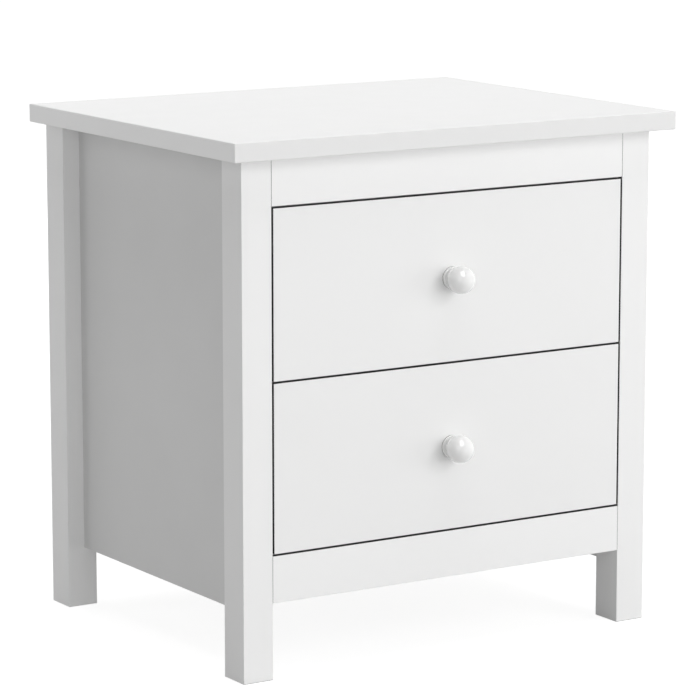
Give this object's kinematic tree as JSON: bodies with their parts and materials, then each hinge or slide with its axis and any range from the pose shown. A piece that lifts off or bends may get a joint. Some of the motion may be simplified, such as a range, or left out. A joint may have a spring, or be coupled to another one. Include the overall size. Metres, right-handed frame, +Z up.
{
  "type": "nightstand with drawers",
  "caption": "White nightstand with four square legs, recessed side panels, an overhanging flat top and flush drawers with round ball knobs that slide out on rollers.",
  "frame": {"origin": "on the floor, under the middle of the overall box, knobs included", "axes": "+Z up, -Y towards a person who opens the drawers, +X to that person's right"},
  "size_m": [0.5, 0.41, 0.51],
  "materials": {
    "white_lacquer": "satin",
    "drawer_board": "satin",
    "hardboard": "matte",
    "epoxy_steel": "satin",
    "roller_nylon": "satin",
    "knob_gloss": "gloss",
    "zinc_steel": "satin"
  },
  "bodies": {
    "carcass": {"back_panel": "hardboard", "front_bottom_rail": "white_lacquer", "front_left_bracket": "zinc_steel", "front_left_bracket_side_screw": "zinc_steel", "front_left_bracket_top_screw": "zinc_steel", "front_left_leg": "white_lacquer", "front_right_bracket": "zinc_steel", "front_right_bracket_side_screw": "zinc_steel", "front_right_bracket_top_screw": "zinc_steel", "front_right_leg": "white_lacquer", "front_top_rail": "white_lacquer", "left_side_panel": "white_lacquer", "lower_left_channel": "epoxy_steel", "lower_right_channel": "epoxy_steel", "rear_bottom_rail": "white_lacquer", "rear_left_bracket": "zinc_steel", "rear_left_bracket_side_screw": "zinc_steel", "rear_left_bracket_top_screw": "zinc_steel", "rear_left_leg": "white_lacquer", "rear_right_bracket": "zinc_steel", "rear_right_bracket_side_screw": "zinc_steel", "rear_right_bracket_top_screw": "zinc_steel", "rear_right_leg": "white_lacquer", "rear_top_rail": "white_lacquer", "right_side_panel": "white_lacquer", "top_panel": "white_lacquer", "upper_left_channel": "epoxy_steel", "upper_right_channel": "epoxy_steel"},
    "upper_drawer": {"upper_drawer_back": "drawer_board", "upper_drawer_bottom": "hardboard", "upper_drawer_front": "white_lacquer", "upper_drawer_left_runner": "epoxy_steel", "upper_drawer_left_side": "drawer_board", "upper_drawer_right_runner": "epoxy_steel", "upper_drawer_right_side": "drawer_board", "upper_knob": "knob_gloss", "upper_knob_screw": "zinc_steel"},
    "lower_drawer": {"lower_drawer_back": "drawer_board", "lower_drawer_bottom": "hardboard", "lower_drawer_front": "white_lacquer", "lower_drawer_left_runner": "epoxy_steel", "lower_drawer_left_side": "drawer_board", "lower_drawer_right_runner": "epoxy_steel", "lower_drawer_right_side": "drawer_board", "lower_knob": "knob_gloss", "lower_knob_screw": "zinc_steel"},
    "lower_drawer_left_roller": {"lower_drawer_left_roller": "roller_nylon"},
    "lower_drawer_right_roller": {"lower_drawer_right_roller": "roller_nylon"},
    "lower_left_channel_roller": {"lower_left_channel_roller": "roller_nylon"},
    "lower_right_channel_roller": {"lower_right_channel_roller": "roller_nylon"},
    "upper_drawer_left_roller": {"upper_drawer_left_roller": "roller_nylon"},
    "upper_drawer_right_roller": {"upper_drawer_right_roller": "roller_nylon"},
    "upper_left_channel_roller": {"upper_left_channel_roller": "roller_nylon"},
    "upper_right_channel_roller": {"upper_right_channel_roller": "roller_nylon"}
  },
  "joints": [
    {"name": "upper_drawer_slide", "type": "slide", "parent": "carcass", "child": "upper_drawer", "axis": [0, -1, 0], "range_m": [0, 0.26]},
    {"name": "upper_left_channel_roller_turn", "type": "hinge", "parent": "carcass", "child": "upper_left_channel_roller", "pos_m": [-0.19375, -0.144, 0.304], "axis": [1, 0, 0], "range_deg": [0, 1490]},
    {"name": "upper_drawer_left_roller_turn", "type": "hinge", "parent": "upper_drawer", "child": "upper_drawer_left_roller", "pos_m": [-0.1935, 0.176, 0.304], "axis": [1, 0, 0], "range_deg": [0, 1490]},
    {"name": "upper_right_channel_roller_turn", "type": "hinge", "parent": "carcass", "child": "upper_right_channel_roller", "pos_m": [0.19375, -0.144, 0.304], "axis": [1, 0, 0], "range_deg": [0, 1490]},
    {"name": "upper_drawer_right_roller_turn", "type": "hinge", "parent": "upper_drawer", "child": "upper_drawer_right_roller", "pos_m": [0.1935, 0.176, 0.304], "axis": [1, 0, 0], "range_deg": [0, 1490]},
    {"name": "lower_drawer_slide", "type": "slide", "parent": "carcass", "child": "lower_drawer", "axis": [0, -1, 0], "range_m": [0, 0.26]},
    {"name": "lower_left_channel_roller_turn", "type": "hinge", "parent": "carcass", "child": "lower_left_channel_roller", "pos_m": [-0.19375, -0.144, 0.14075], "axis": [1, 0, 0], "range_deg": [0, 1490]},
    {"name": "lower_drawer_left_roller_turn", "type": "hinge", "parent": "lower_drawer", "child": "lower_drawer_left_roller", "pos_m": [-0.1935, 0.176, 0.14075], "axis": [1, 0, 0], "range_deg": [0, 1490]},
    {"name": "lower_right_channel_roller_turn", "type": "hinge", "parent": "carcass", "child": "lower_right_channel_roller", "pos_m": [0.19375, -0.144, 0.14075], "axis": [1, 0, 0], "range_deg": [0, 1490]},
    {"name": "lower_drawer_right_roller_turn", "type": "hinge", "parent": "lower_drawer", "child": "lower_drawer_right_roller", "pos_m": [0.1935, 0.176, 0.14075], "axis": [1, 0, 0], "range_deg": [0, 1490]}
  ],
  "couplings": [
    {"joint": "upper_left_channel_roller_turn", "follows": "upper_drawer_slide", "rad_per_m": 100},
    {"joint": "upper_drawer_left_roller_turn", "follows": "upper_drawer_slide", "rad_per_m": 100},
    {"joint": "upper_right_channel_roller_turn", "follows": "upper_drawer_slide", "rad_per_m": 100},
    {"joint": "upper_drawer_right_roller_turn", "follows": "upper_drawer_slide", "rad_per_m": 100},
    {"joint": "lower_left_channel_roller_turn", "follows": "lower_drawer_slide", "rad_per_m": 100},
    {"joint": "lower_drawer_left_roller_turn", "follows": "lower_drawer_slide", "rad_per_m": 100},
    {"joint": "lower_right_channel_roller_turn", "follows": "lower_drawer_slide", "rad_per_m": 100},
    {"joint": "lower_drawer_right_roller_turn", "follows": "lower_drawer_slide", "rad_per_m": 100}
  ]
}
